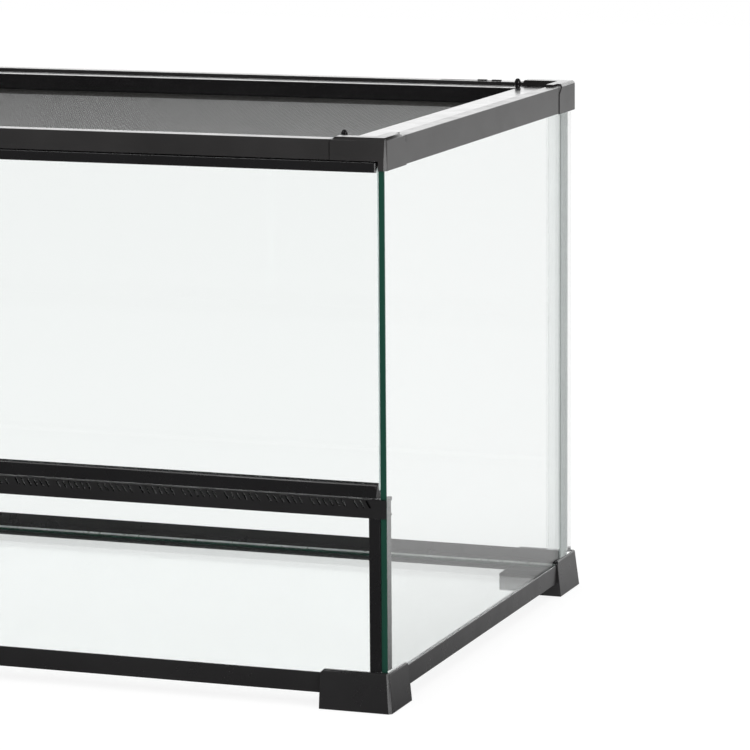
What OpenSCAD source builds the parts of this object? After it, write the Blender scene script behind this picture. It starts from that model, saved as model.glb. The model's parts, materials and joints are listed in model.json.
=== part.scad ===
// Front-opening glass reptile terrarium with swinging doors and a lift-out screen lid.
// Millimetres, +Z up. Origin: middle of the footprint, on the surface it stands on.
// The front faces -Y. The left half mirrors the right half.
//
// Rails and bars are drawn as sections: the first number of a point is the distance
// inward from the rail's outer face, the second is the height above the table.

/* [Frame] */
// Outside width over the side rails
frame_w = 917; // [700:1:1250]
// Outside depth over the front and rear rails
frame_d = 476; // [400:1:600]
// Height of the top rails' upper face above the table
rail_top = 442; // [380:1:640]
// Wall of the plastic rails
rail_wall = 1.5; // [1.2:0.1:2]
// Gap between a pane and the plastic that holds it, each side
pane_fit = 0.1; // [0.05:0.05:0.2]

/* [Base frame] */
// Underside of the base rails above the table
base_bottom = 11.5; // [9:0.5:12.5]
// Upper edge of the base rails' outer wall above the table
base_top = 27.7; // [24:0.1:30]
// Seat of the glass above the table
seat_z = 14.8; // [14.5:0.1:16]
// Width of the seat under the glass
seat_w = 22; // [19:0.5:28]
// Height of the retaining wall in front of the rear glass, above the seat
rear_wall_h = 18.5; // [17:0.5:24]

/* [Feet] */
// Height of a foot
foot_h = 31; // [29.5:0.5:36]
// Length of a foot along the front or rear
foot_len = 56; // [48:0.5:70]
// Length of a front foot along the side
foot_side_front = 42; // [38:0.5:60]
// Length of a rear foot along the side
foot_side_rear = 51; // [40:0.5:60]
// How far a foot stands out from the front or rear rail at its top
foot_proud_top = 2.3; // [1.5:0.1:3]
// How far a foot stands out from the front or rear rail at the table
foot_proud_foot = 5.8; // [4:0.1:9]
// How far a foot stands out from the side rail at its top
foot_side_proud_top = 0.8; // [0.6:0.1:3]
// How far a foot stands out from the side rail at the table
foot_side_proud_foot = 3.9; // [3:0.1:9]
// Corner cut off the top of a foot's ends
foot_cut = 3; // [1:0.5:3]
// Wall of the hollow under a foot
foot_wall = 3; // [2:0.5:4]
// Bevel down the outer corner of a foot
foot_bevel = 2; // [1:0.5:3]

/* [Glass] */
// Thickness of every pane
glass_t = 5; // [4:0.5:5.5]
// Distance of the rear glass from the rear rails' outer face
rear_glass_in = 9.8; // [9.5:0.1:11]
// How far the side glass stops short of the rear rails' outer face
side_glass_short = 18.5; // [18:0.5:20]
// Radius of the silicone bead round the floor
bead_r = 4; // [3:0.5:6]

/* [Top frame] */
// Height of the side and rear top rails
side_rail_h = 22.6; // [21:0.1:26]
// Height of the front top rail, above the doors
front_rail_h = 15.9; // [14:0.1:16.4]
// Width of the rails' top flange
flange_w = 12; // [11:0.5:12]
// Thickness of the rails' top flange
flange_t = 2; // [1.5:0.1:2.5]
// Upper face of the ledge under the lid, below the rails' upper face
ledge_drop = 17.6; // [17:0.1:18.5]
// Thickness of the ledge
ledge_t = 1.5; // [1.2:0.1:2]
// Inner edge of the ledge, from the rails' outer face
ledge_w = 22; // [20:0.5:24]
// Length of a corner cap along each rail
cap_len = 45; // [42:0.5:50]
// How far a cap stands out from the rails
cap_skin = 0.6; // [0.4:0.1:1.2]
// How far a cap stands above the rails
cap_lift = 2; // [1:0.1:2.5]
// Bevel round a cap's top outer edges
cap_bevel = 2.3; // [1:0.1:2.5]
// Bevel down a cap's outer corner
cap_corner = 2.4; // [1:0.1:2.6]
// Width of the seam groove between a rail and a cap
seam_w = 0.6; // [0.3:0.1:1]
// Depth of the seam groove
seam_d = 0.9; // [0.4:0.1:1]
// Length of the plate inside each top corner, along the front or rear
gusset_x = 50; // [48:1:56]
// Width of the plate inside each top corner, front to back
gusset_y = 35; // [32:0.5:36]

/* [Ventilation strip] */
// Upper face of the ventilation strip above the table
strip_top = 166.2; // [140:0.1:200]
// Height of the ventilation strip
strip_h = 14.5; // [14:0.1:16]
// Depth of the ventilation strip
strip_depth = 18; // [17:0.5:22]
// Wall of the strip's top
strip_lid = 1; // [0.8:0.1:1.2]
// Distance between slots of a group
slot_pitch = 5.2; // [5:0.1:5.6]
// Slots in a group
slot_count = 6; // [4:1:6]
// Distance between groups
group_pitch = 35.6; // [35:0.1:50]
// Distance of the outermost slot from the side rails' outer face
slot_in = 15.9; // [14:0.1:24]
// Slots left in the outermost group
slot_end_count = 3; // [1:1:6]
// Height of a slot
slot_h = 5.8; // [5:0.1:6]
// Width of a slot
slot_w = 1.8; // [1:0.1:2.2]
// Sideways lean of a slot over its height
slot_lean = 3.6; // [0:0.1:4]
// Plain stretch each side of the strip's middle, for the latch
slot_free = 30; // [24:1:50]

/* [Doors] */
// Distance of the hinge axis from the side rails' outer face
pivot_in = 12.2; // [12.1:0.1:12.5]
// Distance of a door's outer end from the side rails' outer face
door_in = 7.4; // [7.2:0.1:7.6]
// Depth of a door rail, front to back
door_rail_d = 9; // [8.5:0.1:9]
// Height of a door's top rail
door_top_h = 8.1; // [7.8:0.1:10]
// Height of a door's bottom rail
door_bottom_h = 11.2; // [10:0.1:13]
// Gap between a door and the frame above or below it
door_gap = 0.6; // [0.5:0.1:1.2]
// Gap between the two doors
door_mid_gap = 3; // [2:0.5:4]
// Bevel at a door rail's outer end
door_bevel = 2.2; // [2.2:0.1:2.5]
// Radius of a hinge pin
pin_r = 2; // [1.8:0.1:2]
// Clearance round a hinge pin in the frame
pin_clear = 0.05; // [0.02:0.01:0.1]
// Length of a hinge pin beyond the door
pin_reach = 6; // [5:0.5:6]

/* [Screen lid] */
// Upper face of the lid below the rails' upper face
lid_drop = 2.3; // [2.2:0.1:3.5]
// Gap between the lid and the rails' flange
lid_gap = 0.5; // [0.3:0.1:1]
// Inner edge of the lid's rear and side bars, from the rails' outer face
lid_inner = 40; // [38:0.5:44]
// Wall of the lid's bars
lid_wall = 1.6; // [1.4:0.1:2]
// Width of the lip that holds the mesh
lid_lip = 4; // [3:0.5:6]
// Mesh openings along the width
mesh_nx = 25; // [20:1:30]
// Mesh openings along the depth
mesh_ny = 12; // [8:1:12]
// Width of a mesh strand
mesh_w = 1.2; // [1:0.1:2]
// Thickness of the mesh
mesh_t = 0.6; // [0.4:0.1:1]
// Distance of a lock pin from the side rail's outer face
lock_x = 43; // [43:0.5:44.5]
// Distance of a lock pin from the front or rear rail's outer face
lock_y = 26.5; // [24:0.5:28]
// Radius of a lock pin's head
lock_head_r = 2.65; // [2.4:0.05:4]
// Height of a lock pin's head
lock_head_h = 7.2; // [5:0.1:10]
// Radius of a lock pin's stem
lock_stem_r = 1.6; // [1.2:0.1:2]
// Clearance round a lock pin's stem
lock_clear = 0.08; // [0.02:0.01:0.1]

/* [Latch] */
// Half length of the latch bar
latch_reach = 15.5; // [14:0.5:16]
// Width of the latch bar
latch_bar_w = 8; // [6:0.5:8]
// Radius of the latch knob
latch_knob_r = 5.4; // [4.5:0.1:5.4]
// Radius of the latch spindle
latch_spindle_r = 2.2; // [1.8:0.1:2.2]

/* [Cable inlets] */
// Distance of the inlet slide's middle from the side rail's outer face, when open
slide_in = 75.9; // [72:0.1:90]
// Width of a cable inlet
inlet_w = 30; // [20:1:34]
// Height of a cable inlet
inlet_h = 8; // [6:0.5:8]

/* [Hidden] */
$fn = 48;
black = [0.09, 0.09, 0.1];
clear = [0.85, 0.93, 0.92, 0.35];
half_w = frame_w / 2;
half_d = frame_d / 2;
past = 1;            // how far a cut runs past a face

// Feet
foot_edge = 1;                               // bevel along the top of the outer faces
foot_rib = 2;
foot_boss_r = 7;

// Panes
pane_in = rail_wall + pane_fit;              // outer face of a pane behind a rail's wall
pane_end = pane_in + glass_t;                // its inner face
groove_end = pane_end + pane_fit;            // where the plastic behind it starts
floor_z = seat_z + glass_t;
rear_in = rear_glass_in;
rear_end = rear_in + glass_t;
rear_upstand = rear_end + 2 * pane_fit;      // retaining wall in front of the rear glass
step_h = 9.7;                                // thicker foot of that wall
step_t = 0.8;
floor_in = groove_end + pane_fit;            // floor glass, from the outer faces
floor_rear_in = rear_upstand + rail_wall + step_t + pane_fit;
corner_glass_in = pane_end + 1.8;            // where front and rear panes end

// Top frame
flange_z = rail_top - flange_t;
ledge_z = rail_top - ledge_drop;
ledge_under = ledge_z - ledge_t;
side_bottom = rail_top - side_rail_h;
front_bottom = rail_top - front_rail_h;
inner_wall = flange_w - rail_wall;
lip_z = side_bottom;
side_glass_top = flange_z - pane_fit;
rear_glass_top = ledge_under - pane_fit;
cap_skirt = 0.5;                             // cap's edge below the side rail's
cap_cut_x = [3.5, 4.5];                      // corner cut at the skin's end: length, drop
cap_cut_y = [10, 8];
cap_cut_in = 5;                              // width of the cut along the side
boss_len = 20;                               // pin boss, from the side rail's outer face
boss_d = 9;
pin_hole_r = pin_r + pin_clear;
pin_tip_gap = 1;

// Ventilation strip and lower front glass
strip_bottom = strip_top - strip_h;
strip_end = 4.6;                             // full front wall's end, from the outer face
strip_recess = 0.6;                          // bevel from there over the side glass's edge
web_top = strip_top - 8.5;
web_t = 1.5;
front_glass_top = web_top - web_t - pane_fit;
slot_z = strip_top - 0.8 - slot_h / 2;
vent_mesh_t = 0.8;
vent_mesh_in = strip_depth - 3;

// Doors
door_z0 = strip_top + 2 * door_gap;
door_z1 = front_bottom - door_gap;
pane_hold = 4;                               // depth of the pane in a door rail
door_pane_in = (door_rail_d - glass_t) / 2;
pivot_y = door_rail_d / 2;
door_pane_z0 = door_z0 + door_bottom_h - pane_hold - 1.4;
door_pane_z1 = door_z1 - door_top_h + pane_hold;
rail_slope = 2.5;                            // bevel along a door's bottom rail
pull_w = 24;                                 // finger pull at the doors' meeting ends
pull_proud = 4;
pull_in = 16;
pull_z = 3;
pull_h = 3;

// Screen lid
lid_pin_gap = 0.4;                           // between a lock pin and the front bar's lip
lid_inner_front = lock_y + lock_stem_r + lid_pin_gap + lid_lip;
lid_top = rail_top - lid_drop;
lid_out = flange_w + lid_gap;
lid_foot = ledge_z + pane_fit;
spline_t = 1.2;                              // thickness of the mesh's retaining strips
mesh_bottom = lid_foot + spline_t;            // the retaining strips end level with the bars
mesh_top = mesh_bottom + mesh_t;
mesh_in = lid_inner - lid_lip;
mesh_in_front = lid_inner_front - lid_lip;
bar_end_r = 2;
rear_groove_in = lid_out + 15.5;
lock_stem_len = lid_top - ledge_under + 2;
lock_hole_r = lock_stem_r + lock_clear;

// Latch
latch_z = web_top + 3.4;
latch_gap = 0.3;                             // between the latch bar and the doors
latch_bar_t = 2.2;
latch_knob_t = 3.2;
latch_clip_t = 1.4;
latch_clip_r = 3.1;

// Cable inlets
slide_w = inlet_w + 4;
slide_t = 2;
slide_gap = 0.4;
slide_travel = slide_w;
inlet_z = ledge_z + 2.2;
inlet_mid = slide_in + slide_travel;
grip_w = 21.1;
grip_rib_w = 8.1;
grip_t = 3;
grip_in = rail_wall + 1.4;
grip_proud = 1;

// Clear strips at the rear corners, and channels of the lower front glass
strip_wall = 1.2;
clear_front = 38;                            // outer lip's front edge, from the rear face
clear_inner_front = 27;
clear_rear_reach = 24;
channel_in = groove_end;
channel_out = 15.7;
channel_d = 8;
channel_face = 0.2;

// ---------------------------------------------------------------- placing helpers

// A row of rectangles [from, to, low, high] as one section.
module section(rects) {
    for (r = rects)
        translate([r[0], r[2]]) square([r[1] - r[0], r[3] - r[2]]);
}

// Runs a section along one side: 0 front, 1 right, 2 rear, 3 left.
module along(side, length) {
    rotate([0, 0, 90 * side])
        translate([-length / 2, -(side % 2 == 0 ? half_d : half_w), 0])
            rotate([90, 0, 90])
                linear_extrude(length) children();
}

// Corner frame: first axis inward from the side face, second inward from the front
// or rear face. x_side is 1 at the right and -1 at the left, y_side is -1 at the front.
module at_corner(x_side, y_side) {
    translate([x_side * half_w, y_side * half_d, 0])
        mirror([x_side > 0 ? 1 : 0, 0, 0])
            mirror([0, y_side > 0 ? 1 : 0, 0])
                children();
}

// In the corner frame: a section that runs along the front or rear.
module leg_x(length, start = 0) {
    translate([start, 0, 0]) rotate([90, 0, 90]) linear_extrude(length - start) children();
}

// In the corner frame: a section that runs along the side.
module leg_y(length, start = 0) {
    translate([0, length, 0]) rotate([90, 0, 0]) linear_extrude(length - start) children();
}

module mirror_x(side) {
    mirror([side < 0 ? 1 : 0, 0, 0]) children();
}

// Box between two corners.
module box(a, b) {
    translate(a) cube(b - a);
}

// ---------------------------------------------------------------- base frame

base_section = [
    [0, rail_wall, base_bottom, base_top],
    [0, seat_w, seat_z - rail_wall, seat_z],
    [seat_w - rail_wall, seat_w, base_bottom, seat_z]];

rear_base_section = concat(base_section, [
    [rear_upstand, rear_upstand + rail_wall, seat_z - rail_wall, seat_z + rear_wall_h],
    [rear_upstand, rear_upstand + rail_wall + step_t, seat_z - rail_wall, seat_z + step_h]]);

module base_rail(side) {
    across = side % 2 == 0;
    color(black) translate([0, across ? 0 : (foot_side_front - foot_side_rear) / 2, 0])
        along(side, across ? frame_w - 2 * foot_len : frame_d - foot_side_front - foot_side_rear)
            section(side == 2 ? rear_base_section : base_section);
}

// Outer shape of a foot towards one outer face, flared towards the table.
module foot_profile(reach, top, low) {
    polygon([[-low, 0], [reach, 0], [reach, foot_h - foot_cut], [reach - foot_cut, foot_h],
        [-top + foot_edge, foot_h], [-top, foot_h - foot_edge]]);
}

// Bevel of the outer corner, as a section along the corner's diagonal.
module foot_corner_profile(reach) {
    polygon([[foot_bevel - (foot_proud_foot + foot_side_proud_foot) / sqrt(2), 0], [reach, 0],
        [reach, foot_h], [foot_bevel - (foot_proud_top + foot_side_proud_top) / sqrt(2), foot_h]]);
}

module foot(x_side, y_side) {
    reach_y = y_side < 0 ? foot_side_front : foot_side_rear;
    reach = foot_len + reach_y;
    color(black) at_corner(x_side, y_side) difference() {
        intersection() {
            leg_x(foot_len, -foot_side_proud_foot)
                foot_profile(reach_y, foot_proud_top, foot_proud_foot);
            leg_y(reach_y, -foot_proud_foot)
                foot_profile(foot_len, foot_side_proud_top, foot_side_proud_foot);
            rotate([0, 0, 45]) translate([0, reach, 0])
                rotate([90, 0, 0]) linear_extrude(2 * reach) foot_corner_profile(reach);
        }
        // pocket for the panes
        box([rail_wall, rail_wall, seat_z], [reach, reach, foot_h + past]);
        // hollow underneath, with a cross rib and a middle boss
        difference() {
            box([foot_wall - foot_side_proud_top, foot_wall - foot_proud_top, -past],
                [foot_len - foot_wall, reach_y - foot_wall, seat_z - foot_wall]);
            translate([foot_len / 2, reach_y / 2, 0]) {
                cube([reach, foot_rib, 2 * seat_z], center = true);
                cube([foot_rib, reach, 2 * seat_z], center = true);
                cylinder(r = foot_boss_r, h = 2 * seat_z, center = true);
            }
        }
    }
    // retaining wall in front of the rear glass, carried on through the rear feet
    if (y_side > 0) color(black) at_corner(x_side, y_side) {
        box([rail_wall, rear_upstand, seat_z - past],
            [foot_len, rear_upstand + rail_wall, foot_h]);
        box([corner_glass_in, rear_upstand, seat_z - past],
            [foot_len, rear_upstand + rail_wall, seat_z + rear_wall_h]);
        box([groove_end + pane_fit, rear_upstand, seat_z - past],
            [foot_len, rear_upstand + rail_wall + step_t, seat_z + step_h]);
    }
}

// ---------------------------------------------------------------- glass

module floor_glass() {
    color(clear) box([-half_w + floor_in, -half_d + floor_in, seat_z],
        [half_w - floor_in, half_d - floor_rear_in, floor_z]);
}

module side_glass(side) {
    color(clear) mirror_x(side) box([half_w - pane_end, -half_d + pane_in, seat_z],
        [half_w - pane_in, half_d - side_glass_short, side_glass_top]);
}

module rear_glass() {
    edge = half_w - corner_glass_in;
    color(clear) box([-edge, half_d - rear_end, seat_z], [edge, half_d - rear_in, rear_glass_top]);
}

module front_lower_glass() {
    edge = half_w - corner_glass_in;
    color(clear) box([-edge, -half_d + pane_in, seat_z],
        [edge, -half_d + pane_end, front_glass_top]);
}

// Silicone bead in the angle between the floor and the four walls.
module floor_bead() {
    x1 = half_w - pane_end;
    y1 = half_d - floor_rear_in + pane_fit;
    bead = [[0, 0], [bead_r, 0], [0.35 * bead_r, 0.35 * bead_r], [0, bead_r]];
    color([0.9, 0.92, 0.92, 0.6]) {
        for (side = [-1, 1]) mirror_x(side)
            translate([x1, half_d - clear_front - past, floor_z]) mirror([1, 0, 0])
                rotate([90, 0, 0])
                    linear_extrude(frame_d - clear_front - 2 * past - channel_d - bead_r)
                        polygon(bead);
        translate([-x1 + bead_r + 1, y1, floor_z]) mirror([0, 1, 0])
            rotate([90, 0, 90]) linear_extrude(2 * (x1 - bead_r - 1)) polygon(bead);
        translate([-x1 + channel_out, -half_d + pane_end, floor_z])
            rotate([90, 0, 90]) linear_extrude(2 * (x1 - channel_out)) polygon(bead);
    }
}

// U-channel that holds one end of the lower front glass.
module front_channel(side) {
    z0 = foot_h + pane_fit;
    z1 = strip_bottom - pane_fit;
    y0 = -half_d + channel_face;
    color(black) mirror_x(side) difference() {
        box([half_w - channel_out, y0, z0], [half_w - channel_in, -half_d + channel_d, z1]);
        box([half_w - channel_out - past, -half_d + rail_wall, z0 - past],
            [half_w - corner_glass_in + pane_fit, -half_d + groove_end, z1 + past]);
    }
}

// Clear corner profile: grips the side glass's rear edge and the rear glass's end.
module rear_corner_strip(side) {
    z0 = foot_h + pane_fit;
    z_in = seat_z + rear_wall_h + pane_fit;
    z1 = side_bottom - cap_skirt - pane_fit;
    outer = [pane_in - strip_wall, rear_in - strip_wall];
    inner = [pane_end + pane_fit, rear_end + pane_fit];
    core_end = [corner_glass_in - pane_fit, side_glass_short - pane_fit];
    color(clear) at_corner(side, 1) {
        // core and the two outer lips
        box([outer[0], outer[1], z0], [core_end[0], core_end[1], z1]);
        box([outer[0], outer[1], z0], [pane_in, clear_front, z1]);
        box([outer[0], outer[1], z0], [clear_rear_reach, rear_in - pane_fit, z1]);
        // the two inner lips, above the retaining wall
        box([inner[0], inner[1], z_in], [inner[0] + strip_wall, clear_inner_front, z1]);
        box([inner[0], inner[1], z_in], [clear_rear_reach, inner[1] + strip_wall, z1]);
    }
}

// ---------------------------------------------------------------- ventilation strip

strip_section = [
    [0, rail_wall, strip_bottom, strip_top],
    [0, strip_depth, strip_top - strip_lid, strip_top],
    [0, groove_end + rail_wall, web_top - web_t, web_top],
    [groove_end, groove_end + rail_wall, strip_bottom, web_top],
    [strip_depth - rail_wall, strip_depth, strip_top - 3, strip_top],
    [groove_end, strip_depth, strip_bottom, strip_bottom + rail_wall]];

// One leaning slot, as a section with round ends.
module slot_shape() {
    lean = atan(slot_lean / slot_h);
    rotate(lean) square([slot_w, slot_h / cos(lean) - slot_w], center = true);
    for (end = [-1, 1]) rotate(lean)
        translate([0, end * (slot_h / cos(lean) - slot_w) / 2]) circle(d = slot_w, $fn = 12);
}

// Groups of slots, counted from the strip's ends towards the latch.
module slot_cuts() {
    end_x = half_w - slot_in - (slot_end_count - 1) * slot_pitch;
    groups = ceil((end_x - slot_free) / group_pitch);
    for (side = [-1, 1], g = [0:groups - 1])
        for (k = [0:(g == 0 ? slot_end_count : slot_count) - 1]) {
            x = end_x - g * group_pitch + k * slot_pitch;
            if (x > slot_free)
                translate([side * x, -half_d + rail_wall + past / 2, slot_z]) rotate([90, 0, 0])
                    linear_extrude(rail_wall + past) slot_shape();
        }
}

module vent_strip() {
    color(black) difference() {
        union() {
            // front wall, whose bevelled ends cover the side glass's front edge
            translate([0, -half_d, strip_bottom]) linear_extrude(strip_h)
                polygon([[half_w - strip_end, 0], [half_w - pane_in, strip_recess],
                    [half_w - pane_in, rail_wall], [-half_w + pane_in, rail_wall],
                    [-half_w + pane_in, strip_recess], [-half_w + strip_end, 0]]);
            along(0, frame_w - 2 * groove_end) section(strip_section);
            for (side = [-1, 1]) mirror_x(side)
                box([half_w - boss_len, -half_d, web_top - web_t],
                    [half_w - groove_end, -half_d + boss_d, strip_top]);
        }
        slot_cuts();
        for (side = [-1, 1])
            translate([side * (half_w - pivot_in), -half_d + pivot_y,
                strip_top + door_gap * 2 - pin_reach - pin_tip_gap])
                cylinder(r = pin_hole_r, h = pin_reach + pin_tip_gap + past);
        translate([0, -half_d + rail_wall + past, latch_z]) rotate([90, 0, 0])
            cylinder(r = latch_spindle_r + pin_clear, h = rail_wall + 2 * past);
    }
}

// Perforated strip behind the slots.
module vent_mesh() {
    x1 = half_w - boss_len - 2;
    z0 = strip_bottom + rail_wall;
    z1 = strip_top - strip_lid;
    pitch = group_pitch / 4;
    count = floor(2 * (x1 - 6) / pitch);
    color([0.3, 0.3, 0.32])
        translate([0, -half_d + vent_mesh_in + vent_mesh_t, 0]) rotate([90, 0, 0])
            linear_extrude(vent_mesh_t) difference() {
                translate([-x1, z0]) square([2 * x1, z1 - z0]);
                for (k = [0:count - 1])
                    translate([(k - (count - 1) / 2) * pitch - pitch * 0.35, z0 + 3])
                        square([pitch * 0.7, z1 - z0 - 6]);
            }
}

// ---------------------------------------------------------------- top frame

side_top_section = [
    [0, rail_wall, side_bottom, rail_top],
    [0, flange_w, flange_z, rail_top],
    [inner_wall, flange_w, ledge_under, rail_top],
    [groove_end, ledge_w, ledge_under, ledge_z],
    [groove_end, groove_end + rail_wall, lip_z, ledge_z]];

front_top_section = [
    [0, rail_wall, front_bottom, rail_top],
    [0, flange_w, flange_z, rail_top],
    [0, flange_w, front_bottom, front_bottom + rail_wall],
    [inner_wall, flange_w, ledge_under, rail_top],
    [inner_wall, ledge_w, ledge_under, ledge_z]];

rear_top_section = [
    [0, rail_wall, side_bottom, rail_top],
    [0, flange_w, flange_z, rail_top],
    [inner_wall, flange_w, ledge_under, rail_top],
    [0, ledge_w, ledge_under, ledge_z],
    [rear_in - pane_fit - rail_wall, rear_in - pane_fit, lip_z, ledge_z],
    [rear_end + pane_fit, rear_end + pane_fit + rail_wall, lip_z, ledge_z]];

// A top rail, with a groove over its outer face and top where it meets each cap.
module top_rail_plain(side) {
    length = (side % 2 == 0 ? frame_w : frame_d) - 2 * cap_len;
    difference() {
        along(side, length) section(side == 0 ? front_top_section : side == 2 ? rear_top_section
            : side_top_section);
        difference() {
            along(side, length + 2 * past) section([[-past, seam_d, 0, rail_top + past],
                [-past, flange_w + past, rail_top - seam_d, rail_top + past]]);
            along(side, length - 2 * seam_w) square([2 * flange_w, 2 * rail_top], center = true);
            along(side, length - 2 * seam_w) translate([0, rail_top]) square(4 * flange_w, center = true);
        }
    }
}

module top_rail_rear() {
    rail_in = inner_wall + rail_wall;
    color(black) difference() {
        union() {
            top_rail_plain(2);
            // guide ribs that hold the cable slides against the outer wall
            for (side = [-1, 1]) mirror_x(side)
                box([half_w - inlet_mid - slide_w / 2, half_d - rail_wall - 2 * slide_gap
                    - slide_t - rail_wall, ledge_z], [half_w - cap_len - past, half_d - rail_wall
                    - 2 * slide_gap - slide_t, ledge_z + 1.6]);
        }
        for (side = [-1, 1]) mirror_x(side) {
            // inlet through both walls
            box([half_w - inlet_mid - inlet_w / 2, half_d - rail_in - past, inlet_z],
                [half_w - inlet_mid + inlet_w / 2, half_d + past, inlet_z + inlet_h]);
            // slot in the flange for the finger grip
            box([half_w - inlet_mid - grip_w / 2 - slide_gap,
                half_d - grip_in - grip_t - slide_gap, flange_z - past],
                [half_w - slide_in + grip_w / 2 + slide_gap,
                half_d - grip_in + slide_gap, rail_top + past]);
        }
    }
}

// A cap's skin outside and on top, as a section down to a height.
function skin_section(low) = [[-cap_skin, rail_wall / 2, low, rail_top + cap_lift],
    [-cap_skin, flange_w, rail_top - flange_t / 2, rail_top + cap_lift]];

// Triangle off the upper end corner of a skin, in the plane along it.
module skin_cut(cut) {
    top = rail_top + cap_lift + past;
    polygon([[cap_len - cut[0] * (1 + past / cut[1]), top], [cap_len + past, top],
        [cap_len + past, rail_top + cap_lift - cut[1] * (1 + past / cut[0])]]);
}

// Corner cap: the rails' sections with a skin outside and on top, run round the corner.
module top_cap(x_side, y_side) {
    front = y_side < 0;
    end_bottom = front ? front_bottom : side_bottom - cap_skirt;
    skin_low = side_bottom - cap_skirt;
    color(black) at_corner(x_side, y_side) difference() {
        union() {
            leg_x(cap_len) section(front ? front_top_section : rear_top_section);
            leg_y(cap_len) section(side_top_section);
            difference() {
                leg_x(cap_len) section(skin_section(end_bottom));
                translate([0, flange_w + past, 0]) rotate([90, 0, 0])
                    linear_extrude(flange_w + cap_skin + 2 * past) skin_cut(cap_cut_x);
            }
            difference() {
                leg_y(cap_len) section(skin_section(skin_low));
                translate([-cap_skin - past, 0, 0]) rotate([90, 0, 90])
                    linear_extrude(cap_skin + past + cap_cut_in) skin_cut(cap_cut_y);
            }
            // outer corner
            box([-cap_skin, -cap_skin, skin_low], [rail_wall, rail_wall, rail_top + cap_lift]);
            // lobe over the end of the side glass
            box([-cap_skin, -cap_skin, skin_low], [pane_end - 0.4, rail_wall, rail_top]);
            // corner plate under the lid, with the hole for the lock pin
            box([groove_end, inner_wall, ledge_under], [cap_len, gusset_y, ledge_z]);
            box([ledge_w, ledge_w + pane_fit, ledge_under], [gusset_x, gusset_y, ledge_z]);
            if (front)
                box([groove_end, 0, front_bottom], [boss_len, boss_d, front_bottom + pin_reach + 2]);
        }
        // pocket of the side glass
        box([rail_wall, front ? rail_wall : side_glass_short - past, skin_low - past],
            [groove_end, cap_len + past, flange_z]);
        // room for the door's top rail
        if (front)
            box([groove_end, -past, skin_low - past], [cap_len + past, inner_wall, front_bottom]);
        // groove of the rear glass
        if (!front)
            box([corner_glass_in - pane_fit, rear_in - pane_fit, skin_low - past],
                [cap_len + past, rear_end + pane_fit, ledge_under]);
        translate([lock_x, lock_y, ledge_under - past])
            cylinder(r = lock_hole_r, h = ledge_t + 2 * past);
        if (front)
            translate([pivot_in, pivot_y, front_bottom - past])
                cylinder(r = pin_hole_r, h = pin_reach + pin_tip_gap + past - door_gap);
        // bevel round the top outer edges
        for (turn = [0, 1]) mirror([turn, -turn, 0])
            translate([-cap_skin, -past, rail_top + cap_lift]) rotate([0, 45, 0])
                cube([cap_bevel * sqrt(2), 4 * cap_len, cap_bevel * sqrt(2)], center = true);
        translate([-cap_skin, -cap_skin, 0]) rotate([0, 0, 45])
            cube([cap_corner * sqrt(2), cap_corner * sqrt(2), 3 * rail_top], center = true);
    }
}

// ---------------------------------------------------------------- doors

// Plan of a door rail: the outer end is bevelled so that it clears the side glass.
module door_plan() {
    x0 = door_mid_gap / 2;
    x1 = half_w - door_in;
    b = door_bevel;
    polygon([[x0, 0], [x1 - b, 0], [x1, b], [x1, door_rail_d - b], [x1 - b, door_rail_d],
        [x0, door_rail_d]]);
}

module door_glass(side) {
    color(clear) mirror_x(side)
        box([door_mid_gap / 2 + 0.5, -half_d + door_pane_in, door_pane_z0],
            [half_w - door_in - 0.3, -half_d + door_pane_in + glass_t, door_pane_z1]);
}

module door_groove(z0, z1) {
    box([0, -half_d + door_pane_in - pane_fit, z0],
        [half_w, -half_d + door_pane_in + glass_t + pane_fit, z1]);
}

module door_top_rail(side) {
    z0 = door_z1 - door_top_h;
    color(black) mirror_x(side) difference() {
        translate([0, -half_d, z0]) linear_extrude(door_top_h) door_plan();
        door_groove(z0 - past, door_pane_z1 + pane_fit);
        translate([half_w - pivot_in, -half_d + pivot_y, door_pane_z1])
            cylinder(r = pin_r, h = door_top_h);
    }
}

module door_bottom_rail(side) {
    z1 = door_z0 + door_bottom_h;
    color(black) mirror_x(side) difference() {
        union() {
            translate([0, -half_d, door_z0]) linear_extrude(door_bottom_h) door_plan();
            box([pull_in, -half_d - pull_proud, door_z0 + pull_z],
                [pull_in + pull_w, -half_d + past, door_z0 + pull_z + pull_h]);
        }
        door_groove(door_pane_z0 - pane_fit, z1 + past);
        // slope along the upper front and rear edges
        for (flip = [0, 1]) translate([0, -half_d + (flip == 1 ? door_rail_d : 0), z1])
            mirror([0, flip, 0]) rotate([90, 0, 90]) linear_extrude(half_w)
                polygon([[-past, -rail_slope - past], [door_pane_in * 0.75, past],
                    [-past, past]]);
        translate([half_w - pivot_in, -half_d + pivot_y, door_z0 - past])
            cylinder(r = pin_r, h = door_pane_z0 - door_z0 + past - pane_fit);
    }
}

// Two short pins on one axis, fixed in the door rails.
module hinge_pins(side) {
    color([0.55, 0.55, 0.57]) translate([side * (half_w - pivot_in), -half_d + pivot_y, 0]) {
        translate([0, 0, door_z0 - pin_reach])
            cylinder(r = pin_r, h = door_pane_z0 - door_z0 - 2 * pane_fit + pin_reach);
        translate([0, 0, door_pane_z1 + 2 * pane_fit])
            cylinder(r = pin_r, h = door_z1 - door_pane_z1 - 2 * pane_fit + pin_reach);
    }
}

// ---------------------------------------------------------------- screen lid

// Section of a bar whose inner edge is this far from the rails' outer face.
function lid_section(inner) = [
    [lid_out, inner, lid_top - lid_wall, lid_top],
    [lid_out, lid_out + lid_wall, lid_foot, lid_top],
    [inner - lid_wall, inner, mesh_top, lid_top],
    [inner - lid_lip, inner, mesh_top, mesh_top + lid_wall]];

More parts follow.
